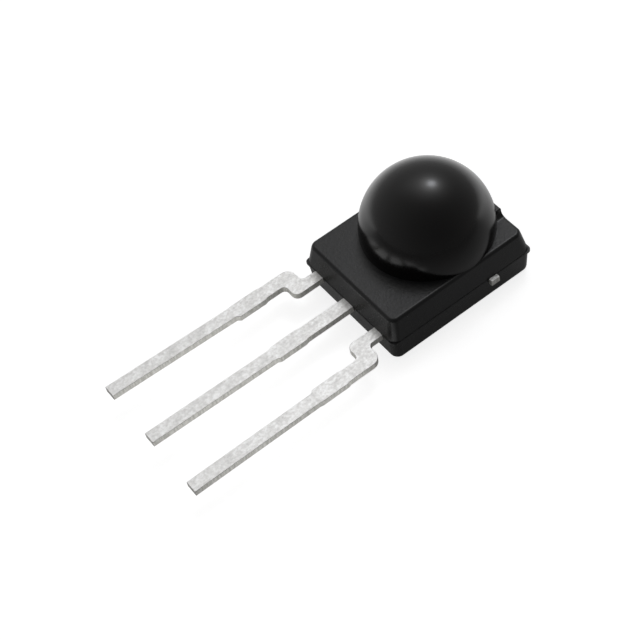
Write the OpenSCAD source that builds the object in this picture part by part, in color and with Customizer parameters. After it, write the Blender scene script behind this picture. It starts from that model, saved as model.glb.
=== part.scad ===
// Infrared remote-control receiver: a black epoxy moulding with a dome lens,
// carried on three flat leads of one stamped lead frame.
// The optical axis of the lens is Z, the leads point along -Y, and the flat
// back of the moulding lies on Z = 0.  All sizes are in millimetres.

/* [Moulding] */
// Width across the body at the parting line
body_w = 5.3; // [4.4:0.05:6.4]
// Length of the body at the parting line, along the leads
body_l = 6.42; // [5.6:0.01:8]
// Distance from the optical axis to the far end of the body
lens_to_far = 2.55; // [2.5:0.01:3.2]
// Height of the body above the parting line
upper_h = 0.97; // [0.8:0.01:1.2]
// Depth of the body below the parting line
lower_h = 1.07; // [0.8:0.01:2.2]
// Draft of the four upper sides
upper_draft = 11; // [4:0.5:13]
// Draft of the four lower sides
lower_draft = 3.5; // [2:0.5:8]
// Radius of the upright corners at the parting line
corner_r = 0.34; // [0.32:0.02:0.6]
// Rounding of the upper edges
top_edge_r = 0.15; // [0.04:0.01:0.18]
// Rounding of the back edges
back_edge_r = 0.2; // [0.02:0.01:0.28]
// How far the moulding flash stands out of the parting line
flash_w = 0.01; // [0.01:0.01:0.12]
// Corner radius of the moulding flash
flash_r = 0.18; // [0.1:0.01:0.36]
// Thickness of the moulding flash
flash_t = 0.08; // [0.04:0.01:0.16]

/* [Lens] */
// Radius of the dome
lens_r = 2.52; // [2:0.01:2.6]
// Height of the dome's centre above the body's upper face
lens_rise = 0.12; // [0:0.02:0.6]
// Distance of the dome's centre from the body's middle, to the output side
lens_off = 0.08; // [0:0.01:0.1]
// Width of the raised step behind the dome
step_w = 2.6; // [1:0.1:3.4]
// Height of the raised step above the upper face
step_h = 0.33; // [0.24:0.01:0.5]
// Radius of the hollow at the foot of the step's two ends
step_r = 0.22; // [0.05:0.01:0.24]

/* [Ejector marks] */
// Radius of the ejector pin marks on the back
ejector_r = 0.5; // [0.2:0.05:0.7]
// Depth of the ejector pin marks
ejector_depth = 0.05; // [0.02:0.01:0.1]

/* [Leads] */
// Pitch of the straight leads
lead_pitch = 2.54; // [2:0.02:3]
// Pitch of the leads where they leave the body
exit_pitch = 1.76; // [1.4:0.01:1.9]
// Thickness of the lead frame
lead_t = 0.27; // [0.15:0.01:0.4]
// Length of the leads outside the body
lead_len = 8.73; // [6:0.01:28]
// Width of a lead where it leaves the body
exit_w = 0.48; // [0.3:0.01:0.6]
// Width of a lead between the body and its dam bar
shoulder_w = 0.57; // [0.4:0.01:0.6]
// Distance of the outer leads' shoulders from the pitch line, inwards
shoulder_set = 0.04; // [0:0.01:0.1]
// Width of a lead past its dam bar
lead_w = 0.52; // [0.3:0.01:0.6]
// Width over the cut ends of the dam bar
dam_w = 0.65; // [0.6:0.01:0.9]
// Distance from the body to the jog of the outer leads
jog_y = 0.63; // [0.3:0.01:1]
// Length of the jog along the lead
jog_l = 0.62; // [0.4:0.01:1]
// Radius of the jog's corner away from the middle lead
jog_r = 0.38; // [0.1:0.01:0.4]
// Radius of the jog's elbow towards the middle lead
elbow_r = 0.27; // [0.1:0.01:0.38]
// Radius of the two hollow corners of the jog
hollow_r = 0.19; // [0.04:0.01:0.2]
// Distance from the body to the dam bar
dam_y = 2.03; // [1.8:0.01:3]
// Length of the dam bar's cut ends, along the lead
dam_l = 1.36; // [0.8:0.01:1.8]
// Length of the slope into each cut end
dam_slope = 0.12; // [0.05:0.01:0.38]
// Set of the leads past the dam bar, upwards
lead_rise = 0.9; // [0:0.1:3]
// Set of the outer leads past the dam bar, outwards
lead_splay = 0.9; // [0:0.1:2]

/* [Lead frame inside] */
// Width of the die pad
pad_w = 3; // [2.6:0.1:3.4]
// Length of the die pad
pad_l = 3.9; // [3.6:0.1:4]
// Distance from the optical axis to the far edge of the die pad
pad_to_far = 1.4; // [1.2:0.05:1.7]
// Distance from the body's lead end to the bond fingers
finger_y = 0.34; // [0.3:0.01:0.4]
// Length of the bond fingers along the leads
finger_l = 0.7; // [0.5:0.05:0.75]
// Gap between neighbouring pieces of the lead frame
frame_gap = 0.3; // [0.2:0.02:0.36]
// Width of the tie bars that hold the die pad
tie_w = 0.38; // [0.2:0.01:0.5]
// Distance from the optical axis to the middle of the tie bars
tie_y = 0.7; // [0.6:0.01:1.1]
// How far the cut tie bars stand out of the body
tie_proud = 0.16; // [0.08:0.01:0.4]
// Radius of the holes that lock the lead frame in the epoxy
lock_r = 0.14; // [0.08:0.01:0.16]

/* [Chips] */
// Side of the square photodiode chip
diode_w = 1.4; // [1:0.05:1.6]
// Thickness of the photodiode chip
diode_t = 0.28; // [0.15:0.01:0.4]
// Width of the receiver circuit chip
circuit_w = 1.3; // [0.9:0.05:1.5]
// Length of the receiver circuit chip
circuit_l = 1.1; // [0.8:0.05:1.1]
// Thickness of the receiver circuit chip
circuit_t = 0.22; // [0.15:0.01:0.4]
// Clear width between the two chips
chip_gap = 0.26; // [0.15:0.01:0.3]
// Thickness of the glue under the chips
glue_t = 0.02; // [0.01:0.01:0.04]
// How far the glue reaches past a chip
glue_rim = 0.05; // [0.02:0.01:0.06]
// Diameter of the bond wires
wire_d = 0.03; // [0.02:0.005:0.04]
// Height of the bond wire loops above the line between their ends
wire_loop = 0.16; // [0.1:0.01:0.3]
// Distance of the bond wires' ends from the edges of chips and fingers
wire_inset = 0.14; // [0.1:0.01:0.2]

/* [Hidden] */
$fn = 64;

epoxy_black = [0.10, 0.10, 0.105];
tin_grey = [0.78, 0.78, 0.76];
silicon_grey = [0.32, 0.34, 0.42];
glue_grey = [0.62, 0.62, 0.60];
gold_yellow = [0.85, 0.68, 0.30];

far_y = lens_to_far;
near_y = far_y - body_l;
parting_z = lower_h;
top_z = parting_z + upper_h;
lens_z = top_z + lens_rise;
upper_inset = upper_h * tan(upper_draft);
lower_inset = lower_h * tan(lower_draft);

frame_z = parting_z - lead_t;
shoulder_x = lead_pitch - shoulder_set;
cut = 1;
seam = 0.01;

pad_far_y = pad_to_far;
pad_near_y = pad_far_y - pad_l;
finger_top_y = near_y + finger_y + finger_l;
finger_inner_x = shoulder_w / 2 + frame_gap;
finger_outer_x = exit_pitch + exit_w / 2 + 0.04;

chip_base_z = parting_z + glue_t;
diode_top_z = chip_base_z + diode_t;
circuit_top_z = chip_base_z + circuit_t;
circuit_far_y = -diode_w / 2 - chip_gap;
circuit_near_y = circuit_far_y - circuit_l;

// Half of a drafted wall's section, from its corner centre outwards: the root
// is at X = r, the wall leans in by the draft and ends in a rounded edge
module wall_section(r, h, draft, edge_r) {
    lean = h * tan(draft);
    edge_x = r - lean - edge_r * (1 - sin(draft)) / cos(draft);
    edge_y = h - edge_r;
    polygon([
        [0, 0], [r, 0],
        [edge_x + edge_r * cos(draft), edge_y + edge_r * sin(draft)],
        [edge_x, edge_y], [edge_x, h], [0, h]
    ]);
    intersection() {
        translate([edge_x, edge_y]) circle(r = edge_r);
        translate([edge_x, edge_y]) square(edge_r);
    }
}

// Full section of the drafted body between two opposite walls
module body_section(span, r, h, draft, edge_r) {
    inner = span / 2 - r;
    for (side = [0, 1])
        mirror([side, 0]) translate([inner, 0]) wall_section(r, h, draft, edge_r);
    translate([-inner - seam, 0]) square([2 * (inner + seam), h]);
}

// One half of the moulding: drafted walls, cone corners and rounded edges
module drafted_half(w, l, h, draft, edge_r) {
    translate([0, l / 2 - corner_r, 0]) rotate([90, 0, 0])
        linear_extrude(l - 2 * corner_r) body_section(w, corner_r, h, draft, edge_r);
    translate([-w / 2 + corner_r, 0, 0]) rotate([90, 0, 90])
        linear_extrude(w - 2 * corner_r) body_section(l, corner_r, h, draft, edge_r);
    for (x = [-1, 1], y = [-1, 1])
        translate([x * (w / 2 - corner_r), y * (l / 2 - corner_r), 0])
            rotate_extrude() wall_section(corner_r, h, draft, edge_r);
}

// Flat plate with rounded corners, standing out all round
module rounded_plate(w, l, r, t) {
    linear_extrude(t) {
        square([w - 2 * r, l], center = true);
        square([w, l - 2 * r], center = true);
        for (x = [-1, 1], y = [-1, 1])
            translate([x * (w / 2 - r), y * (l / 2 - r)]) circle(r = r);
    }
}

module body_halves() {
    mid_y = (near_y + far_y) / 2;
    translate([0, mid_y, parting_z])
        drafted_half(body_w, body_l, upper_h, upper_draft, top_edge_r);
    translate([0, mid_y, parting_z]) mirror([0, 0, 1])
        drafted_half(body_w, body_l, lower_h, lower_draft, back_edge_r);
    translate([0, mid_y, parting_z - flash_t])
        rounded_plate(body_w + 2 * flash_w, body_l + 2 * flash_w, flash_r, flash_t);
}

// Dome, standing on a short barrel that runs down to the parting line
module lens() {
    translate([-lens_off, 0, lens_z]) sphere(r = lens_r, $fn = 128);
    translate([-lens_off, 0, parting_z])
        cylinder(r = lens_r, h = lens_z - parting_z, $fn = 128);
}

// Raised step between the dome and the far end of the body
module far_step() {
    depth = 1.2;
    root = 0.5;
    foot = step_w / 2 + step_r;
    translate([0, far_y - upper_inset - 0.03, top_z]) rotate([90, 0, 0]) linear_extrude(depth) {
        translate([-step_w / 2, 0]) square([step_w, step_h]);
        difference() {
            translate([-foot, -root]) square([2 * foot, root + step_r]);
            for (x = [-1, 1]) translate([x * foot, step_r]) circle(r = step_r);
        }
    }
}

module ejector_marks() {
    for (y = [near_y + lower_inset + 1.1, far_y - lower_inset - 1.0])
        translate([0, y, -cut]) cylinder(r = ejector_r, h = cut + ejector_depth);
}

module moulding() {
    color(epoxy_black)
    difference() {
        union() {
            body_halves();
            intersection() {
                lens();
                translate([-10, -10, parting_z]) cube([20, 20, 20]);
            }
            far_step();
        }
        ejector_marks();
        embedded_pieces();
    }
}

// Everything that the epoxy is moulded round
module embedded_pieces() {
    lead_output();
    lead_ground();
    lead_supply();
    photodiode_chip();
    receiver_chip();
    photodiode_glue();
    receiver_glue();
    wire_diode();
    wire_output();
    wire_supply();
    wire_ground();
}

// Outline of the straight stretch from y0 down to the dam bar, with the
// sloped cut ends of the bar on both sides
module dam_outline(x, y0) {
    s = shoulder_w / 2;
    d = dam_w / 2;
    n = lead_w / 2;
    y1 = near_y - dam_y;
    y2 = y1 - dam_slope;
    y3 = y1 - dam_l + dam_slope;
    y4 = y1 - dam_l;
    translate([x, 0])
        polygon([
            [-s, y0], [s, y0], [s, y1], [d, y2], [d, y3], [n, y4],
            [-n, y4], [-d, y3], [-d, y2], [-s, y1]
        ]);
}

// Straight end of a lead past the dam bar, with its small set
module lead_tail(x, splay) {
    y4 = near_y - dam_y - dam_l;
    translate([x, y4, frame_z]) rotate([-lead_rise, 0, -splay])
        translate([-lead_w / 2, -(lead_len - dam_y - dam_l), 0])
            cube([lead_w, lead_len - dam_y - dam_l + 0.06, lead_t]);
}

// Jog that takes an outer lead from the exit pitch to the lead pitch;
// drawn for the +X side
module jog_outline() {
    in_x = exit_pitch - exit_w / 2;
    out_x = exit_pitch + exit_w / 2;
    far_x = shoulder_x + shoulder_w / 2;
    low_x = shoulder_x - shoulder_w / 2;
    y1 = near_y - jog_y;
    y2 = y1 - jog_l;
    difference() {
        union() {
            translate([in_x, y2]) square([out_x - in_x, near_y + seam - y2]);
            translate([in_x, y2]) square([far_x - in_x, jog_l]);
            translate([low_x, y2 - jog_r - seam]) square([shoulder_w, jog_l + jog_r + seam]);
            translate([out_x, y1]) square(hollow_r);
            translate([low_x - hollow_r, y2 - hollow_r]) square(hollow_r);
        }
        translate([out_x + hollow_r, y1 + hollow_r]) circle(r = hollow_r);
        translate([low_x - hollow_r, y2 - hollow_r]) circle(r = hollow_r);
        difference() {
            translate([far_x - jog_r, y1 - jog_r]) square(jog_r + seam);
            translate([far_x - jog_r, y1 - jog_r]) circle(r = jog_r);
        }
        difference() {
            translate([in_x - seam, y2 - seam]) square(elbow_r + seam);
            translate([in_x + elbow_r, y2 + elbow_r]) circle(r = elbow_r);
        }
    }
}

// Outer lead with its bond finger inside the body; drawn for the +X side
module outer_lead() {
    y2 = near_y - jog_y - jog_l;
    translate([0, 0, frame_z]) linear_extrude(lead_t)
        difference() {
            union() {
                jog_outline();
                dam_outline(shoulder_x, y2 - jog_r);
                translate([exit_pitch - exit_w / 2, near_y])
                    square([exit_w, finger_y + seam]);
                translate([finger_inner_x, near_y + finger_y])
                    square([finger_outer_x - finger_inner_x, finger_l]);
            }
            translate([exit_pitch, finger_top_y - finger_l / 2]) circle(r = lock_r);
        }
    lead_tail(lead_pitch, -lead_splay);
}

module lead_output() {
    color(tin_grey) mirror([1, 0, 0]) outer_lead();
}

module lead_supply() {
    color(tin_grey) outer_lead();
}

// Middle lead, die pad and tie bars, stamped as one piece
module lead_ground() {
    tie_span = body_w + 2 * tie_proud;
    color(tin_grey) {
        translate([0, 0, frame_z]) linear_extrude(lead_t)
            difference() {
                union() {
                    dam_outline(0, pad_near_y + seam);
                    translate([-pad_w / 2, pad_near_y]) square([pad_w, pad_l]);
                    translate([-tie_span / 2, tie_y - tie_w / 2]) square([tie_span, tie_w]);
                }
                for (x = [-1, 1])
                    translate([x * (pad_w / 2 - 2 * lock_r), pad_far_y - 2 * lock_r])
                        circle(r = lock_r);
            }
        lead_tail(0, 0);
    }
}

module photodiode_chip() {
    color(silicon_grey)
        translate([-diode_w / 2, -diode_w / 2, chip_base_z]) cube([diode_w, diode_w, diode_t]);
}

module receiver_chip() {
    color(silicon_grey)
        translate([-circuit_w / 2, circuit_near_y, chip_base_z])
            cube([circuit_w, circuit_l, circuit_t]);
}

module photodiode_glue() {
    side = diode_w + 2 * glue_rim;
    color(glue_grey)
        translate([-side / 2, -side / 2, parting_z]) cube([side, side, glue_t]);
}

module receiver_glue() {
    color(glue_grey)
        translate([-circuit_w / 2 - glue_rim, circuit_near_y - glue_rim, parting_z])
            cube([circuit_w + 2 * glue_rim, circuit_l + 2 * glue_rim, glue_t]);
}

// Bond wire: a ball on the first face and an arc that lands on the second.
// The ends are [x, y, z] points on two level faces.
module bond_wire(p, q) {
    run = norm([q[0] - p[0], q[1] - p[1]]);
    drop = q[2] - p[2];
    chord = norm([run, drop]);
    arc_r = (chord * chord / 4 + wire_loop * wire_loop) / (2 * wire_loop);
    half_angle = asin(chord / 2 / arc_r);
    over = 8;
    color(gold_yellow)
    translate(p) rotate([0, 0, atan2(q[1] - p[1], q[0] - p[0])]) {
        intersection() {
            rotate([0, -atan2(drop, run), 0])
                translate([chord / 2, 0, wire_loop - arc_r]) rotate([90, 0, 0])
                    rotate([0, 0, 90 - half_angle - over])
                        rotate_extrude(angle = 2 * (half_angle + over))
                            translate([arc_r, 0]) circle(d = wire_d, $fn = 8);
            translate([0, cut, 0]) rotate([90, 0, 0]) linear_extrude(2 * cut)
                polygon([
                    [-cut, 0], [run / 2, 0], [run / 2, drop],
                    [run + cut, drop], [run + cut, cut], [-cut, cut]
                ]);
        }
        cylinder(r = 1.3 * wire_d, h = 0.7 * wire_d, $fn = 24);
    }
}

module wire_diode() {
    bond_wire([0.3, -diode_w / 2 + wire_inset, diode_top_z],
              [0.3, circuit_far_y - wire_inset, circuit_top_z]);
}

module wire_output() {
    bond_wire([-circuit_w / 2 + wire_inset, circuit_near_y + wire_inset, circuit_top_z],
              [-finger_inner_x - 2 * wire_inset, finger_top_y - wire_inset, parting_z]);
}

module wire_supply() {
    bond_wire([circuit_w / 2 - wire_inset, circuit_near_y + wire_inset, circuit_top_z],
              [finger_inner_x + 2 * wire_inset, finger_top_y - wire_inset, parting_z]);
}

module wire_ground() {
    bond_wire([-circuit_w / 2 + wire_inset, circuit_far_y - 2 * wire_inset, circuit_top_z],
              [-pad_w / 2 + wire_inset, circuit_far_y - 2 * wire_inset, parting_z]);
}

moulding();
lead_output();
lead_ground();
lead_supply();
photodiode_chip();
receiver_chip();
photodiode_glue();
receiver_glue();
wire_diode();
wire_output();
wire_supply();
wire_ground();
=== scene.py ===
from math import cos, pi, radians, sin, tan

import bpy
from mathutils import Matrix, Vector


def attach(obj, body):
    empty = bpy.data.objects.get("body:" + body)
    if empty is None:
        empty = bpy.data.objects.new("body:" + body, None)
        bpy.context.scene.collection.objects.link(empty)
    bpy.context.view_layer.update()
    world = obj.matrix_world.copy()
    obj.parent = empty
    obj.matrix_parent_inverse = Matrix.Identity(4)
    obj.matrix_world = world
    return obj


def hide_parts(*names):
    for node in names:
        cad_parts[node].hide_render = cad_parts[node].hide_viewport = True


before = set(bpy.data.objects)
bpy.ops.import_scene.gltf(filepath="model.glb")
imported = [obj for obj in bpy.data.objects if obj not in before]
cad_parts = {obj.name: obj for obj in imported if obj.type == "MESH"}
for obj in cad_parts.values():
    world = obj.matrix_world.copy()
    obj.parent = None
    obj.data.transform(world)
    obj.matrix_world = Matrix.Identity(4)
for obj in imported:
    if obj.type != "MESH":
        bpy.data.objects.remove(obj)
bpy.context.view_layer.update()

# Sizes of the receiver, in millimetres. Z is the lens axis, the leads run
# along -Y, and the flat back lies on Z = 0.

# The body: two drafted halves that meet at the parting line, with a thin flash
BODY_W = 5.3
BODY_L = 6.42
FAR_Y = 2.55
NEAR_Y = FAR_Y - BODY_L
MID_Y = (FAR_Y + NEAR_Y) / 2
PARTING_Z = 1.07
TOP_Z = 2.04
UPPER_DRAFT = radians(11)
LOWER_DRAFT = radians(3.5)
CORNER_R = 0.34
TOP_EDGE_R = 0.15
BACK_EDGE_R = 0.2
FLASH_W = 0.01
FLASH_R = 0.18
FLASH_T = 0.08
# The slab inside the flash that both halves are drawn from
SLAB_T = 0.016

# The dome on its barrel, which ends just above the parting line
LENS_R = 2.52
LENS_X = -0.08
LENS_Z = TOP_Z + 0.12
BARREL_FOOT = PARTING_Z + 0.05

# The raised step behind the dome: its blank reaches down into the body, and its
# far face stands a little in front of the wall
STEP_W = 2.6
STEP_H = 0.33
STEP_R = 0.22
STEP_EDGE_R = 0.05
STEP_DEPTH = 1.2
STEP_ROOT = 0.5
STEP_BACK = 0.03

# The ejector pins, whose marks lie in the back, and their distance from its edges
PIN_R = 0.5
PIN_L = 0.5
PIN_MARK = 0.05
PIN_NEAR = 1.1
PIN_FAR = 1.0

# The leads outside the body: exit, jog, shoulder, cut dam bar and tail
LEAD_T = 0.27
LEAD_TOP = PARTING_Z
EXIT_X = 1.76
EXIT_W = 0.48
SHOULDER_X = 2.5
SHOULDER_W = 0.57
TAIL_W = 0.52
DAM_W = 0.65
JOG_TOP = NEAR_Y - 0.63
JOG_LOW = JOG_TOP - 0.62
JOG_R = 0.38
ELBOW_R = 0.27
HOLLOW_R = 0.19
DAM_TOP = NEAR_Y - 2.03
DAM_LOW = DAM_TOP - 1.36
DAM_SLOPE = 0.12
TIP_Y = NEAR_Y - 8.73
TAIL_SHIFT = 0.04
TAIL_RISE = radians(0.9)
TAIL_SPLAY = radians(0.9)
DIE_ROLL = 0.018

# The lead frame inside the body: bond fingers, die pad, tie bars and lock holes
FINGER_LOW = NEAR_Y + 0.34
FINGER_L = 0.7
FINGER_IN = SHOULDER_W / 2 + 0.3
FINGER_OUT = EXIT_X + EXIT_W / 2 + 0.04
PAD_W = 3.0
PAD_L = 3.9
PAD_FAR = 1.4
TIE_Y = 0.7
TIE_W = 0.38
TIE_PROUD = 0.16
LOCK_R = 0.14

MM = 0.001
# Two places are the same within this, a normal or an edge is upright past this
# cosine, a face is a flat past this one, and below the last it is a side
NEAR_ENOUGH = 0.004
UPRIGHT = 0.9
FLAT = 0.995
SIDE = 0.5


# Bench helpers: picking by place, cutting and joining. Pieces are shaped with
# one unit to the millimetre, because Blender's tolerances are coarse for a part
# this small, and to_size brings them down to metres.

def nothing_selected():
    if bpy.context.mode != "OBJECT":
        bpy.ops.object.mode_set(mode="OBJECT")
    bpy.ops.object.select_all(action="DESELECT")


def take(piece):
    """Makes one piece the only selected and active one."""
    nothing_selected()
    piece.select_set(True)
    bpy.context.view_layer.objects.active = piece


def settle(piece, name):
    """Puts the piece's place into its mesh and names it."""
    take(piece)
    bpy.ops.object.transform_apply(location=True, rotation=True, scale=True)
    piece.name = piece.data.name = name
    return piece


def to_size(piece):
    """Brings a finished shape from millimetres down to metres."""
    piece.scale = (MM, MM, MM)
    return settle(piece, piece.name)


def block(name, low, high):
    """A rectangular blank between two corners."""
    low, high = Vector(low), Vector(high)
    nothing_selected()
    bpy.ops.mesh.primitive_cube_add(size=1, location=(low + high) / 2)
    blank = bpy.context.object
    blank.scale = high - low
    return settle(blank, name)


def sheet_blank(name, x0, x1, y0, y1, z):
    """A flat rectangle of sheet between two corners."""
    nothing_selected()
    bpy.ops.mesh.primitive_plane_add(size=1, location=((x0 + x1) / 2, (y0 + y1) / 2, z))
    blank = bpy.context.object
    blank.scale = (x1 - x0, y1 - y0, 1)
    return settle(blank, name)


def rod(name, x, y, low, high, radius, sides):
    """An upright round tool between two heights."""
    nothing_selected()
    bpy.ops.mesh.primitive_cylinder_add(vertices=sides, radius=radius, depth=high - low,
                                        location=(x, y, (low + high) / 2))
    return settle(bpy.context.object, name)


def pick(piece, kind, wanted):
    """Selects in edit mode the vertices, edges or faces that wanted() accepts, and
    counts them. wanted gets the middle of the element and the element."""
    take(piece)
    bpy.ops.object.mode_set(mode="EDIT")
    bpy.ops.mesh.select_all(action="DESELECT")
    bpy.ops.mesh.select_mode(type=kind)
    bpy.ops.object.mode_set(mode="OBJECT")
    mesh = piece.data
    if kind == "VERT":
        elements, middle = mesh.vertices, lambda v: v.co
    elif kind == "EDGE":
        elements, middle = mesh.edges, lambda e: (
            mesh.vertices[e.vertices[0]].co + mesh.vertices[e.vertices[1]].co) / 2
    else:
        elements, middle = mesh.polygons, lambda f: f.center
    picked = 0
    for element in elements:
        element.select = bool(wanted(middle(element), element))
        picked += element.select
    bpy.ops.object.mode_set(mode="EDIT")
    return picked


def pick_all(piece):
    """Selects the whole piece in edit mode."""
    return pick(piece, "FACE", lambda middle, face: True)


def pick_at(piece, kind, x, y):
    """Selects in edit mode the one vertex or edge whose middle is at x, y."""
    spot = Vector((x, y))
    picked = pick(piece, kind, lambda m, e: (m.xy - spot).length < NEAR_ENOUGH)
    assert picked == 1, (piece.name, kind, x, y, picked)


def done(piece):
    """Leaves edit mode."""
    bpy.ops.object.mode_set(mode="OBJECT")
    return piece


def edge_run(piece, edge):
    """Direction of an edge, for picking."""
    a, b = (piece.data.vertices[i].co for i in edge.vertices)
    return (b - a).normalized()


def joined(piece, other, how="UNION"):
    """Joins another solid to the piece, or cuts it out, and removes it."""
    take(piece)
    cutter = piece.modifiers.new("Join", "BOOLEAN")
    cutter.operation = how
    cutter.solver = "EXACT"
    cutter.object = other
    bpy.ops.object.modifier_apply(modifier=cutter.name)
    bpy.data.objects.remove(other)
    return piece


def smooth_rounds(piece):
    """Shades the roundings smooth and keeps the flats flat."""
    take(piece)
    bpy.ops.object.shade_smooth_by_angle(angle=radians(35))
    flats = piece.modifiers.new("Flats", "WEIGHTED_NORMAL")
    flats.keep_sharp = True
    bpy.ops.object.modifier_apply(modifier=flats.name)
    return piece


# The moulding

def fillet_steps(radius, draft, steps):
    """Inset and rise of each step round an edge, from a drafted wall to level."""
    marks = [draft + (pi / 2 - draft) * i / steps for i in range(steps + 1)]
    return [(radius * (cos(a) - cos(b)), radius * (sin(b) - sin(a)))
            for a, b in zip(marks, marks[1:])]


def draw_wall(side, height, draft, edge_r, steps):
    """Draws the picked face out of the mould half, upwards for side 1 and
    downwards for side -1: a drafted wall that nearly keeps the radius of its
    corners, then a rounded edge."""
    wall = height - edge_r + edge_r * sin(draft)
    lean = 2 * wall * tan(draft)
    bpy.ops.mesh.extrude_region_move(TRANSFORM_OT_translate={"value": (0, 0, side * wall)})
    bpy.ops.transform.resize(value=(1 - lean / BODY_W, 1 - lean / BODY_L, 1),
                             center_override=(0, MID_Y, 0))
    for inwards, up in fillet_steps(edge_r, draft, steps):
        bpy.ops.mesh.inset(thickness=inwards, depth=up)


def upright_rounding(piece, radius, segments):
    """Rounds the upright edges of a blank."""
    pick(piece, "EDGE", lambda m, e: abs(edge_run(piece, e).z) > UPRIGHT)
    bpy.ops.mesh.bevel(offset=radius, segments=segments, affect="EDGES",
                       offset_type="OFFSET", clamp_overlap=False)
    return done(piece)


def make_body():
    """The body without its dome, both halves drawn out of the slab."""
    middle = PARTING_Z - FLASH_T / 2
    low, high = middle - SLAB_T / 2, middle + SLAB_T / 2
    body = block("moulded_body", (-BODY_W / 2, NEAR_Y, low), (BODY_W / 2, FAR_Y, high))
    upright_rounding(body, CORNER_R, segments=12)
    pick(body, "FACE", lambda m, f: f.normal.z > UPRIGHT)
    draw_wall(1, TOP_Z - high, UPPER_DRAFT, TOP_EDGE_R, steps=10)
    done(body)
    pick(body, "FACE", lambda m, f: f.normal.z < -UPRIGHT)
    draw_wall(-1, low, LOWER_DRAFT, BACK_EDGE_R, steps=8)
    return done(body)


def make_flash():
    """Thin fin of epoxy that the two mould halves pinch out at the parting line."""
    out = BODY_W / 2 + FLASH_W
    flash = block("flash", (-out, NEAR_Y - FLASH_W, PARTING_Z - FLASH_T),
                  (out, FAR_Y + FLASH_W, PARTING_Z))
    return upright_rounding(flash, FLASH_R, segments=8)


def make_dome():
    """The dome, cut from a ball at its widest, with the barrel drawn down from it."""
    nothing_selected()
    bpy.ops.mesh.primitive_uv_sphere_add(segments=256, ring_count=128, radius=LENS_R,
                                         location=(LENS_X, 0, LENS_Z))
    dome = settle(bpy.context.object, "dome")
    pick_all(dome)
    bpy.ops.mesh.bisect(plane_co=(0, 0, LENS_Z), plane_no=(0, 0, 1),
                        clear_inner=True, use_fill=False)
    done(dome)
    pick(dome, "EDGE", lambda m, e: abs(m.z - LENS_Z) < NEAR_ENOUGH)
    bpy.ops.mesh.extrude_region_move(
        TRANSFORM_OT_translate={"value": (0, 0, BARREL_FOOT - LENS_Z)})
    bpy.ops.mesh.edge_face_add()
    bpy.ops.mesh.select_all(action="SELECT")
    bpy.ops.mesh.normals_make_consistent(inside=False)
    return done(dome)


def make_far_step():
    """Raised step behind the dome, with hollow feet at its ends and a rounded
    top."""
    far = FAR_Y - (TOP_Z - PARTING_Z) * tan(UPPER_DRAFT) - STEP_BACK
    half, height = STEP_W / 2 + STEP_R, TOP_Z
    step = block("far_step", (-half, far - STEP_DEPTH, TOP_Z - STEP_ROOT), (half, far, TOP_Z))
    pick(step, "FACE", lambda m, f: f.normal.z > UPRIGHT)
    hollow = fillet_steps(STEP_R, 0.0, steps=10)[::-1]
    for inwards, up in hollow + [(0.0, STEP_H - STEP_R - STEP_EDGE_R)]:
        height += up
        bpy.ops.mesh.extrude_region_move(TRANSFORM_OT_translate={"value": (0, 0, up)})
        bpy.ops.transform.resize(value=(1 - inwards / half, 1, 1),
                                 center_override=(0, far, height))
        half -= inwards
    for inwards, up in fillet_steps(STEP_EDGE_R, 0.0, steps=4):
        bpy.ops.mesh.inset(thickness=inwards, depth=up)
    return done(step)


def make_moulding():
    """Body, flash, step and dome as the one casting, with the marks of the pins."""
    moulding = make_body()
    for part in (make_flash(), make_far_step(), make_dome()):
        joined(moulding, part)
    lean = PARTING_Z * tan(LOWER_DRAFT)
    for y in (NEAR_Y + lean + PIN_NEAR, FAR_Y - lean - PIN_FAR):
        pin = rod("ejector_pin", 0, y, PIN_MARK - PIN_L, PIN_MARK, PIN_R, sides=64)
        joined(moulding, pin, "DIFFERENCE")
    moulding.name = moulding.data.name = "epoxy_moulding"
    return moulding


def on_lens(middle, face):
    """True for the faces of the dome and of the barrel under it. Their middles lie
    a little inside the round, and they face outwards."""
    out = middle - Vector((LENS_X, 0, min(middle.z, LENS_Z)))
    if middle.z < LENS_Z:
        out.z = 0
    inside, outside = 0.02, 0.01
    return (middle.z > PARTING_Z and -inside < out.length - LENS_R < outside and
            face.normal.dot(out) > UPRIGHT * LENS_R)


# The stamped leads

def score(sheet, co, no):
    """Cuts a line across the sheet, so that a stretch of its edge can be drawn on."""
    pick_all(sheet)
    bpy.ops.mesh.bisect(plane_co=Vector(co), plane_no=no)
    return done(sheet)


def wipe_scores(sheet):
    """Takes the scored lines out of the flat again."""
    pick_all(sheet)
    bpy.ops.mesh.dissolve_limited(angle_limit=radians(0.3))
    return done(sheet)


def grow(sheet, x, y, step, narrow=1.0):
    """Draws the sheet on from the edge whose middle is at x, y."""
    pick_at(sheet, "EDGE", x, y)
    bpy.ops.mesh.extrude_region_move(TRANSFORM_OT_translate={"value": Vector(step)})
    end = Vector((x, y, LEAD_TOP)) + Vector(step)
    bpy.ops.transform.resize(value=(narrow, 1, 1), center_override=end)
    return done(sheet)


def draw_tail(sheet, x, shift, splay):
    """Draws the straight lead on from the foot of its shoulder: the cut ends of
    the dam bar, then the tail, which bends a little up and, by shift and splay,
    outwards."""
    high, low = DAM_TOP - DAM_SLOPE, DAM_LOW + DAM_SLOPE
    grow(sheet, x, DAM_TOP, (0, high - DAM_TOP, 0), DAM_W / SHOULDER_W)
    grow(sheet, x, high, (0, low - high, 0))
    grow(sheet, x, low, (shift, DAM_LOW - low, 0), TAIL_W / DAM_W)
    run = DAM_LOW - TIP_Y
    grow(sheet, x + shift, DAM_LOW, (run * tan(splay), -run, run * tan(TAIL_RISE)))


def round_corner(sheet, x, y, radius):
    """Rounds one corner of the flat outline."""
    pick_at(sheet, "VERT", x, y)
    bpy.ops.mesh.bevel(offset=radius, segments=10, affect="VERTICES", clamp_overlap=False)
    return done(sheet)


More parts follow.
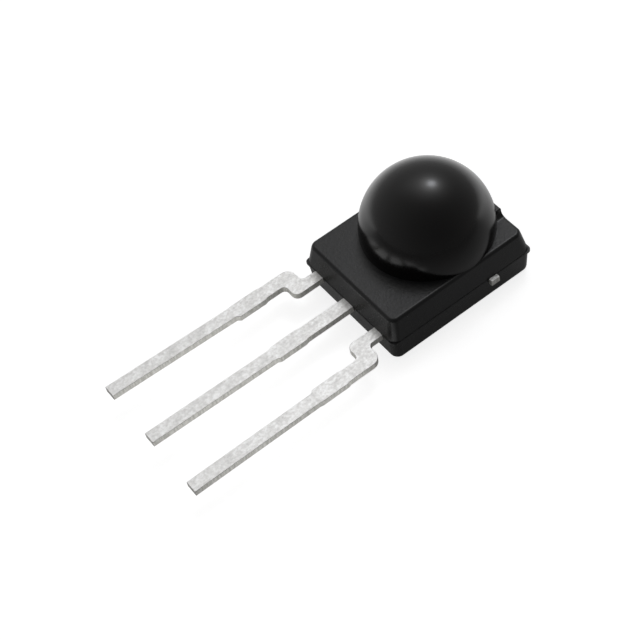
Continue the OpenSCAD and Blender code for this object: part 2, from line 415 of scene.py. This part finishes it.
def stamped(sheet, holes):
    """Gives the outline its thickness, its lock holes and the die's small
    roundings."""
    pick_all(sheet)
    bpy.ops.mesh.extrude_region_move(TRANSFORM_OT_translate={"value": (0, 0, -LEAD_T)})
    bpy.ops.mesh.select_all(action="SELECT")
    bpy.ops.mesh.normals_make_consistent(inside=False)
    done(sheet)
    for x, y in holes:
        punch = rod("punch", x, y, LEAD_TOP - 1.5 * LEAD_T, LEAD_TOP + 0.5 * LEAD_T,
                    LOCK_R, sides=32)
        joined(sheet, punch, "DIFFERENCE")
    take(sheet)
    roll = sheet.modifiers.new("Die roll", "BEVEL")
    roll.width = DIE_ROLL
    roll.segments = 3
    roll.limit_method = "ANGLE"
    roll.angle_limit = radians(40)
    bpy.ops.object.modifier_apply(modifier=roll.name)
    return sheet


def make_supply_lead():
    """Outer lead: drawn from the jog, up to its bond finger and down to its tip."""
    in_x, out_x = EXIT_X - EXIT_W / 2, EXIT_X + EXIT_W / 2
    low_x, far_x = SHOULDER_X - SHOULDER_W / 2, SHOULDER_X + SHOULDER_W / 2
    lead = sheet_blank("lead_supply_side", in_x, far_x, JOG_LOW, JOG_TOP, LEAD_TOP)
    for x in (out_x, low_x):
        score(lead, (x, 0, 0), (1, 0, 0))
    grow(lead, EXIT_X, JOG_TOP, (0, FINGER_LOW - JOG_TOP, 0))
    grow(lead, EXIT_X, FINGER_LOW, (0, FINGER_L, 0))
    middle = FINGER_LOW + FINGER_L / 2
    grow(lead, in_x, middle, (FINGER_IN - in_x, 0, 0))
    grow(lead, out_x, middle, (FINGER_OUT - out_x, 0, 0))
    grow(lead, SHOULDER_X, JOG_LOW, (0, DAM_TOP - JOG_LOW, 0))
    draw_tail(lead, SHOULDER_X, TAIL_SHIFT, TAIL_SPLAY)
    wipe_scores(lead)
    for x, y, radius in ((far_x, JOG_TOP, JOG_R), (in_x, JOG_LOW, ELBOW_R),
                         (out_x, JOG_TOP, HOLLOW_R), (low_x, JOG_LOW, HOLLOW_R)):
        round_corner(lead, x, y, radius)
    return stamped(lead, [(EXIT_X, middle)])


def make_output_lead(supply_lead):
    """The other outer lead, the mirror image of the supply lead."""
    take(supply_lead)
    bpy.ops.object.duplicate(linked=False)
    lead = bpy.context.object
    lead.scale.x = -1
    settle(lead, "lead_output_side")
    pick_all(lead)
    bpy.ops.mesh.normals_make_consistent(inside=False)
    return done(lead)


def make_ground_lead():
    """Middle lead: drawn from the die pad, out to both tie bars and down to its
    tip."""
    half, pad_near = SHOULDER_W / 2, PAD_FAR - PAD_L
    lead = sheet_blank("lead_ground_middle", -PAD_W / 2, PAD_W / 2, pad_near, PAD_FAR,
                       LEAD_TOP)
    for x in (-half, half):
        score(lead, (x, 0, 0), (1, 0, 0))
    for y in (TIE_Y - TIE_W / 2, TIE_Y + TIE_W / 2):
        score(lead, (0, y, 0), (0, 1, 0))
    reach = (BODY_W - PAD_W) / 2 + TIE_PROUD
    for side in (-1, 1):
        grow(lead, side * PAD_W / 2, TIE_Y, (side * reach, 0, 0))
    grow(lead, 0, pad_near, (0, DAM_TOP - pad_near, 0))
    draw_tail(lead, 0, 0, 0)
    wipe_scores(lead)
    edge = 2 * LOCK_R
    return stamped(lead, [(side * (PAD_W / 2 - edge), PAD_FAR - edge) for side in (-1, 1)])


# Finishes

# Most of a noise lies between these values
NOISE_LOW = 0.3
NOISE_HIGH = 0.7


def linear(code):
    """A linear colour from an sRGB hex value."""
    parts = [int(code[i:i + 2], 16) / 255 for i in (1, 3, 5)]
    return [p / 12.92 if p <= 0.04045 else ((p + 0.055) / 1.055) ** 2.4 for p in parts] + [1]


def grey(value):
    return (value, value, value, 1)


def per(size):
    """Pattern scale for a grain of this many millimetres."""
    return 1 / (size * MM)


def add(tree, kind, sockets=None, stops=(), **settings):
    """Adds a node with its settings. A socket gets a value, or another node's
    output as (node, "Output"). The stops of a colour ramp are (place, colour)."""
    node = tree.nodes.new("ShaderNode" + kind)
    for name, value in settings.items():
        setattr(node, name, value)
    for name, value in (sockets or {}).items():
        if isinstance(value, tuple) and isinstance(value[0], bpy.types.Node):
            tree.links.new(value[0].outputs[value[1]], node.inputs[name])
        else:
            node.inputs[name].default_value = value
    if stops:
        marks = node.color_ramp.elements
        while len(marks) < len(stops):
            marks.new(0.5)
        for mark, (place, colour) in zip(marks, stops):
            mark.position = place
            mark.color = colour
    return node


def new_finish(name):
    """An empty material and its node tree."""
    finish = bpy.data.materials.new(name)
    finish.use_nodes = True
    finish.node_tree.nodes.clear()
    return finish, finish.node_tree


def matt_epoxy():
    """Black epoxy cast in a spark-eroded mould: a fine matt grain that spreads
    every reflection, so the flats look dark grey and even."""
    finish, tree = new_finish("Matt moulded black epoxy")
    place = add(tree, "TexCoord")
    # The erosion grain is about 0.01 mm; it is drawn at 0.1 mm to show.
    grain = add(tree, "TexNoise", {"Vector": (place, "Object"), "Scale": per(0.1),
                                   "Detail": 3.0, "Roughness": 0.6})
    # Flow marks of the epoxy, a little under 1 mm across.
    flow = add(tree, "TexNoise", {"Vector": (place, "Object"), "Scale": per(0.77),
                                  "Detail": 2.0, "Roughness": 0.5})
    rough = add(tree, "MapRange", {"Value": (flow, "Fac"), "From Min": NOISE_LOW,
                                   "From Max": NOISE_HIGH, "To Min": 0.38, "To Max": 0.44})
    tone = add(tree, "ValToRGB", {"Fac": (flow, "Fac")},
               stops=[(0.35, linear("#0c0c0d")), (0.65, linear("#101011"))])
    bump = add(tree, "Bump", {"Height": (grain, "Fac"), "Strength": 1.0,
                              "Distance": 0.01 * MM})
    skin = add(tree, "BsdfPrincipled", {
        "Base Color": (tone, "Color"), "Roughness": (rough, "Result"), "IOR": 1.5,
        "Normal": (bump, "Normal")})
    add(tree, "OutputMaterial", {"Surface": (skin, "BSDF")})
    return finish


def drawn_epoxy():
    """The same black epoxy where it slid out of the mould: drafted walls and
    roundings rubbed smoother than the flats, so they mirror softly."""
    finish, tree = new_finish("Drawn black epoxy walls")
    place = add(tree, "TexCoord")
    # Rub marks are finer than a pixel; they are drawn at 0.3 mm.
    rub = add(tree, "TexNoise", {"Vector": (place, "Object"), "Scale": per(0.303),
                                 "Detail": 2.0, "Roughness": 0.5})
    rough = add(tree, "MapRange", {"Value": (rub, "Fac"), "From Min": NOISE_LOW,
                                   "From Max": NOISE_HIGH, "To Min": 0.25, "To Max": 0.33})
    bump = add(tree, "Bump", {"Height": (rub, "Fac"), "Strength": 0.15,
                              "Distance": 0.004 * MM})
    skin = add(tree, "BsdfPrincipled", {
        "Base Color": linear("#080809"), "Roughness": (rough, "Result"), "IOR": 1.5,
        "Normal": (bump, "Normal")})
    add(tree, "OutputMaterial", {"Surface": (skin, "BSDF")})
    return finish


def polished_epoxy():
    """The same black epoxy off a polished lens insert: an even, soft mirror."""
    finish, tree = new_finish("Polished black epoxy lens")
    place = add(tree, "TexCoord")
    # Polishing haze is finer than a pixel; it is drawn at 0.4 mm.
    haze = add(tree, "TexNoise", {"Vector": (place, "Object"), "Scale": per(0.4),
                                  "Detail": 2.0, "Roughness": 0.5})
    rough = add(tree, "MapRange", {"Value": (haze, "Fac"), "From Min": NOISE_LOW,
                                   "From Max": NOISE_HIGH, "To Min": 0.19, "To Max": 0.22})
    skin = add(tree, "BsdfPrincipled", {
        "Base Color": linear("#070504"), "Roughness": (rough, "Result"), "IOR": 1.5})
    add(tree, "OutputMaterial", {"Surface": (skin, "BSDF")})
    return finish


def tinned_frame():
    """Stamped lead frame with dull electroplated tin: a pale grey metal with a
    mottled crystal grain, brighter and duller in patches."""
    finish, tree = new_finish("Dull tin plating")
    place = add(tree, "TexCoord")
    # Plating mottle, about 0.1 mm across, drawn out along the rolled strip.
    strip = add(tree, "Mapping", {"Vector": (place, "Object"), "Scale": (1.0, 0.75, 1.0)})
    mottle = add(tree, "TexNoise", {"Vector": (strip, "Vector"), "Scale": per(0.1053),
                                    "Detail": 4.0, "Roughness": 0.7})
    # Patches of the mottle, about 0.4 mm across.
    patches = add(tree, "TexNoise", {"Vector": (strip, "Vector"), "Scale": per(0.4),
                                     "Detail": 2.0, "Roughness": 0.5})
    both = add(tree, "Mix", {"Factor": 0.3, "A": (mottle, "Fac"), "B": (patches, "Fac")},
               data_type="FLOAT")
    tone = add(tree, "ValToRGB", {"Fac": (both, "Result")},
               stops=[(0.36, linear("#dbdad8")), (0.5, linear("#ebeae8")),
                      (0.62, linear("#fcfcfb"))])
    rough = add(tree, "MapRange", {"Value": (mottle, "Fac"), "From Min": NOISE_LOW,
                                   "From Max": NOISE_HIGH, "To Min": 0.54, "To Max": 0.44})
    bump = add(tree, "Bump", {"Height": (mottle, "Fac"), "Strength": 0.35,
                              "Distance": 0.006 * MM})
    skin = add(tree, "BsdfPrincipled", {
        "Base Color": (tone, "Color"), "Metallic": 1.0, "Roughness": (rough, "Result"),
        "Normal": (bump, "Normal")})
    add(tree, "OutputMaterial", {"Surface": (skin, "BSDF")})
    return finish


def sheared_tin():
    """The same tin on the sheared edges: torn steel under the plating scatters
    the light, with fine upright marks of the die."""
    finish, tree = new_finish("Tinned sheared edges")
    place = add(tree, "TexCoord")
    # Die marks are about 0.02 mm apart; they are drawn at 0.07 mm to show, upright.
    upright = add(tree, "Mapping", {"Vector": (place, "Object"), "Scale": (1.0, 1.0, 0.2)})
    marks = add(tree, "TexNoise", {"Vector": (upright, "Vector"), "Scale": per(0.0714),
                                   "Detail": 2.0, "Roughness": 0.5})
    tone = add(tree, "ValToRGB", {"Fac": (marks, "Fac")},
               stops=[(0.35, linear("#d5d4cf")), (0.65, linear("#efeeea"))])
    bump = add(tree, "Bump", {"Height": (marks, "Fac"), "Strength": 0.6,
                              "Distance": 0.012 * MM})
    skin = add(tree, "BsdfPrincipled", {
        "Base Color": (tone, "Color"), "Metallic": 1.0, "Roughness": 0.7,
        "Normal": (bump, "Normal")})
    add(tree, "OutputMaterial", {"Surface": (skin, "BSDF")})
    return finish


def silicon():
    """Sawn and polished silicon: dark blue-grey and mirror smooth."""
    finish, tree = new_finish("Polished silicon")
    place = add(tree, "TexCoord")
    # Cells of the circuit, about 0.05 mm.
    cells = add(tree, "TexVoronoi", {"Vector": (place, "Object"), "Scale": per(0.05)},
                distance="CHEBYCHEV")
    tone = add(tree, "ValToRGB", {"Fac": (cells, "Distance")},
               stops=[(0.2, linear("#4a4e66")), (0.8, linear("#5c6178"))])
    skin = add(tree, "BsdfPrincipled", {
        "Base Color": (tone, "Color"), "Metallic": 0.6, "Roughness": 0.12})
    add(tree, "OutputMaterial", {"Surface": (skin, "BSDF")})
    return finish


def silver_glue():
    """Cured epoxy filled with silver flakes: pale grey, slightly grainy."""
    finish, tree = new_finish("Silver-filled die glue")
    place = add(tree, "TexCoord")
    # Flakes of about 0.01 mm.
    flakes = add(tree, "TexNoise", {"Vector": (place, "Object"), "Scale": per(0.01),
                                    "Detail": 2.0})
    tone = add(tree, "ValToRGB", {"Fac": (flakes, "Fac")},
               stops=[(0.35, linear("#a9a8a5")), (0.65, linear("#c4c3c0"))])
    skin = add(tree, "BsdfPrincipled", {
        "Base Color": (tone, "Color"), "Metallic": 0.5, "Roughness": 0.55})
    add(tree, "OutputMaterial", {"Surface": (skin, "BSDF")})
    return finish


def gold_wire():
    """Drawn gold wire: warm yellow, smooth, with faint drawing lines."""
    finish, tree = new_finish("Drawn gold wire")
    place = add(tree, "TexCoord")
    # Drawing lines of about 0.003 mm.
    lines = add(tree, "TexNoise", {"Vector": (place, "Object"), "Scale": per(0.003)})
    rough = add(tree, "MapRange", {"Value": (lines, "Fac"), "To Min": 0.15, "To Max": 0.3})
    skin = add(tree, "BsdfPrincipled", {
        "Base Color": linear("#f2c96a"), "Metallic": 1.0, "Roughness": (rough, "Result")})
    add(tree, "OutputMaterial", {"Surface": (skin, "BSDF")})
    return finish


def dress(piece, *finishes):
    """Gives the piece its finishes. All its faces have the first one."""
    piece.data.materials.clear()
    for finish in finishes:
        piece.data.materials.append(finish)
    return piece


def paint(piece, index, wanted):
    """Gives the faces that wanted() accepts another of the piece's finishes."""
    pick(piece, "FACE", wanted)
    piece.active_material_index = index
    bpy.ops.object.material_slot_assign()
    return done(piece)


# The object

# Each finish by its place in the piece's list; the tin comes first on a lead
MATT, POLISHED, DRAWN = 0, 1, 2
SHEARED = 1

moulding = dress(make_moulding(), matt_epoxy(), polished_epoxy(), drawn_epoxy())
paint(moulding, POLISHED, on_lens)
paint(moulding, DRAWN, lambda m, f: f.material_index == MATT and abs(f.normal.z) < FLAT)
to_size(smooth_rounds(moulding))
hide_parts("moulding")
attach(moulding, "root")

tin, sheared = tinned_frame(), sheared_tin()
supply_lead = make_supply_lead()
output_lead = make_output_lead(supply_lead)
ground_lead = make_ground_lead()
for lead, node in ((output_lead, "lead_output"), (ground_lead, "lead_ground"),
                   (supply_lead, "lead_supply")):
    dress(lead, tin, sheared)
    paint(lead, SHEARED, lambda m, f: abs(f.normal.z) < SIDE)
    to_size(smooth_rounds(lead))
    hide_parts(node)
    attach(lead, "root")

# What the epoxy hides keeps its CAD shape.
hidden = ((silicon(), ("photodiode_chip", "receiver_chip")),
          (silver_glue(), ("photodiode_glue", "receiver_glue")),
          (gold_wire(), ("wire_diode", "wire_output", "wire_supply", "wire_ground")))
for finish, names in hidden:
    for name in names:
        dress(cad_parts[name], finish)


# The stage: a pale table, a soft room and a softbox. Directions are azimuth and
# elevation in degrees, and places are in millimetres.

# Painted light on the paper that only mirrored rays see: a glow painted dim on the camera's
# side and brightest behind the part on the left, with levels along a line through the origin,
# where place 0 is the near end and place 1 the far end given below
PAINTED_POOL_TOWARD = (235, 0)
PAINTED_POOL_NEAR, PAINTED_POOL_FAR = -30, 40
PAINTED_POOL = ((0.0, 0.0), (0.28, 0.04), (0.37, 0.12), (0.43, 0.2), (0.53, 1.0), (0.72, 0.75),
        (1.0, 0.55))
# Painted pools of light on the paper that only the sides of the leads mirror, under them and
# beside the right jog: middle, where each starts to fade and where it ends, and level
PAINTED_OVALS = (((0.0, -9.8), 2.8, 4.6, 0.72), ((3.8, -5.7), 0.5, 1.6, 0.75))
PAINTED_OVAL_SQUEEZE = (0.6, 1.0)
# A painted shadow on the paper close to the long side, seen only by mirrored rays: it darkens
# the painted pools and the paper's colour there
PAINTED_SHADE_MIDDLE = (3.1, -0.8)
PAINTED_SHADE_SQUEEZE = (2.0, 0.5)
PAINTED_SHADE_START, PAINTED_SHADE_END, PAINTED_SHADE_LEVEL = 1.1, 2.1, 0.68
# How bright the paper itself is for the camera, besides the light that falls on it
PAPER_GLOW = 0.8

# The room's level, its slope along X, Y and Z, and its glows: the ceiling round
# the softbox, twice, and a faint one that the lead tails mirror, each with its
# direction, half width in degrees and level
ROOM_LEVEL = 0.328
ROOM_SLOPE = (-0.161, 0.037, -0.101)
ROOM_GLOWS = ((214, 59, 6.5, 2.3), (219, 61, 14.5, 1.0), (267, 51, 10, 0.12))

# The softbox, a metre away: its half width in degrees and its radiance
SOFTBOX_TOWARD = (212, 57)
SOFTBOX_WIDTH = 5.5
SOFTBOX_RADIANCE = 5.5

# The camera's place and its turns about X, Y and Z in degrees
CAMERA_PLACE = (31.421, -20.965, 46.322)
CAMERA_TURN = (37.2183, 7.856, 53.0569)


def toward(azimuth, elevation):
    """Unit vector to a place in the room: azimuth 0 is over the leads, 90 over +X."""
    a, e = radians(azimuth), radians(elevation)
    return Vector((sin(a) * cos(e), -cos(a) * cos(e), sin(e)))


def fade(tree, place, squeeze, middle, start, end, inside, outside):
    """A level round a middle on the table, which goes from inside to outside
    between two distances, measured after the squeeze along X and Y."""
    squeezed = add(tree, "VectorMath", {0: (place, "Object"), 1: (*squeeze, 1.0)},
                   operation="MULTIPLY")
    centre = [s * m * MM for s, m in zip(squeeze, middle)] + [0]
    far = add(tree, "VectorMath", {0: (squeezed, "Vector"), 1: centre},
              operation="DISTANCE")
    return add(tree, "MapRange", {"Value": (far, "Value"), "From Min": start * MM,
                                  "From Max": end * MM, "To Min": inside,
                                  "To Max": outside}, interpolation_type="SMOOTHSTEP")


def make_table():
    """A sheet of paper. The camera sees it white, with the part's shadow on it. Mirrored rays
    see a darker painted paper colour instead, with painted pools of light and a painted
    shadow beside the long side, as the photograph's part mirrors it."""
    nothing_selected()
    bpy.ops.mesh.primitive_plane_add(size=4.0, location=(0, 0, 0))
    table = bpy.context.object
    table.name = "table"
    finish, tree = new_finish("Pale table with painted reflections")
    path = add(tree, "LightPath")
    place = add(tree, "TexCoord")
    # Painted light for mirrored rays: a glow laid along the paper, then painted pools added
    # to it
    away = add(tree, "VectorMath", {0: (place, "Object"), 1: toward(*PAINTED_POOL_TOWARD)},
               operation="DOT_PRODUCT")
    span = add(tree, "MapRange", {"Value": (away, "Value"), "From Min": PAINTED_POOL_NEAR * MM,
                                  "From Max": PAINTED_POOL_FAR * MM})
    painted_pool = add(tree, "ValToRGB", {"Fac": (span, "Result")},
               stops=[(along, grey(level)) for along, level in PAINTED_POOL])
    light = (painted_pool, "Color")
    # Each painted pool of light is added to the painted glow
    for middle, start, end, level in PAINTED_OVALS:
        painted_oval = fade(tree, place, PAINTED_OVAL_SQUEEZE, middle, start, end, level, 0.0)
        light = (add(tree, "Math", {0: light, 1: (painted_oval, "Result")}, operation="ADD"), "Value")
    # Painted shadow beside the long side, for mirrored rays only
    painted_shade = fade(tree, place, PAINTED_SHADE_SQUEEZE, PAINTED_SHADE_MIDDLE, PAINTED_SHADE_START, PAINTED_SHADE_END,
                 PAINTED_SHADE_LEVEL, 1.0)
    # The painted pools, darkened by the painted shadow
    lit = add(tree, "Math", {0: light, 1: (painted_shade, "Result")}, operation="MULTIPLY")
    mirrored = add(tree, "Math", {0: (path, "Is Glossy Ray"),
                                  1: (path, "Is Transmission Ray")}, operation="ADD")
    seen = add(tree, "Math", {0: (mirrored, "Value"), 1: (lit, "Value")},
               operation="MULTIPLY")
    level = add(tree, "Math", {0: (path, "Is Camera Ray"), 1: PAPER_GLOW,
                               2: (seen, "Value")}, operation="MULTIPLY_ADD")
    glow = add(tree, "Emission", {"Color": linear("#ffffff"), "Strength": (level, "Value")})
    # The paper's colour for mirrored rays: a darker grey, with the painted shadow in it
    dim = add(tree, "ValToRGB", {"Fac": (painted_shade, "Result")},
              stops=[(0.0, grey(0.0)), (1.0, linear("#959595"))])
    # Mirrored rays see the darker painted paper colour, the others the pale one
    tone = add(tree, "Mix", {"Factor": (mirrored, "Value"), "A": linear("#c8c8c8"),
                             "B": (dim, "Color")}, data_type="RGBA")
    paper = add(tree, "BsdfDiffuse", {"Color": (tone, "Result")})
    both = add(tree, "AddShader", {0: (glow, "Emission"), 1: (paper, "BSDF")})
    add(tree, "OutputMaterial", {"Surface": (both, "Shader")})
    table.data.materials.append(finish)


def soft_patch(tree, place, azimuth, elevation, width, level):
    """A soft bright patch of the room; width is its angular half width."""
    tight = 1 / radians(width) ** 2
    near = add(tree, "VectorMath", {0: (place, "Generated"), 1: toward(azimuth, elevation)},
               operation="DOT_PRODUCT")
    fall = add(tree, "Math", {0: (near, "Value"), 1: tight, 2: -tight},
               operation="MULTIPLY_ADD")
    bell = add(tree, "Math", {0: (fall, "Value")}, operation="EXPONENT")
    return add(tree, "Math", {0: (bell, "Value"), 1: level}, operation="MULTIPLY")


def make_room():
    """A pale room: dim behind the camera and lighter opposite, with its glows. The
    camera sees it white."""
    world = bpy.data.worlds.new("Room")
    bpy.context.scene.world = world
    world.use_nodes = True
    tree = world.node_tree
    tree.nodes.clear()
    place = add(tree, "TexCoord")
    slope = add(tree, "VectorMath", {0: (place, "Generated"), 1: ROOM_SLOPE},
                operation="DOT_PRODUCT")
    light = add(tree, "Math", {0: (slope, "Value"), 1: ROOM_LEVEL}, operation="ADD")
    for azimuth, elevation, width, level in ROOM_GLOWS:
        patch = soft_patch(tree, place, azimuth, elevation, width, level)
        light = add(tree, "Math", {0: (light, "Value"), 1: (patch, "Value")},
                    operation="ADD")
    path = add(tree, "LightPath")
    seen = add(tree, "Mix", {"Factor": (path, "Is Camera Ray"), "A": (light, "Value"),
                             "B": 1.0}, data_type="FLOAT")
    back = add(tree, "Background", {"Color": linear("#ffffff"), "Strength": (seen, "Result")})
    add(tree, "OutputWorld", {"Surface": (back, "Background")})


def make_softbox():
    """A round softbox a metre away, opposite the camera, in slightly cool light."""
    out = toward(*SOFTBOX_TOWARD)
    radius = tan(radians(SOFTBOX_WIDTH))
    light = bpy.data.lights.new("softbox", "AREA")
    light.shape = "DISK"
    light.size = 2 * radius
    # The power of a disk is pi times its radiance times its area.
    light.energy = SOFTBOX_RADIANCE * pi * pi * radius * radius
    light.color = linear("#f2f6ff")[:3]
    lamp = bpy.data.objects.new("softbox", light)
    bpy.context.scene.collection.objects.link(lamp)
    lamp.location = out
    lamp.rotation_euler = (-out).to_track_quat("-Z", "Y").to_euler()


def make_camera():
    """The photograph's viewpoint: a 90 mm lens about 60 mm away, from the upper
    front right."""
    lens = bpy.data.cameras.new("camera")
    lens.lens = 90
    lens.sensor_width = 36
    lens.clip_start = 0.005
    lens.clip_end = 10
    camera = bpy.data.objects.new("camera", lens)
    bpy.context.scene.collection.objects.link(camera)
    camera.location = Vector(CAMERA_PLACE) * MM
    camera.rotation_euler = [radians(turn) for turn in CAMERA_TURN]
    bpy.context.scene.camera = camera


make_table()
make_room()
make_softbox()
make_camera()
bpy.context.scene.view_settings.view_transform = "Standard"
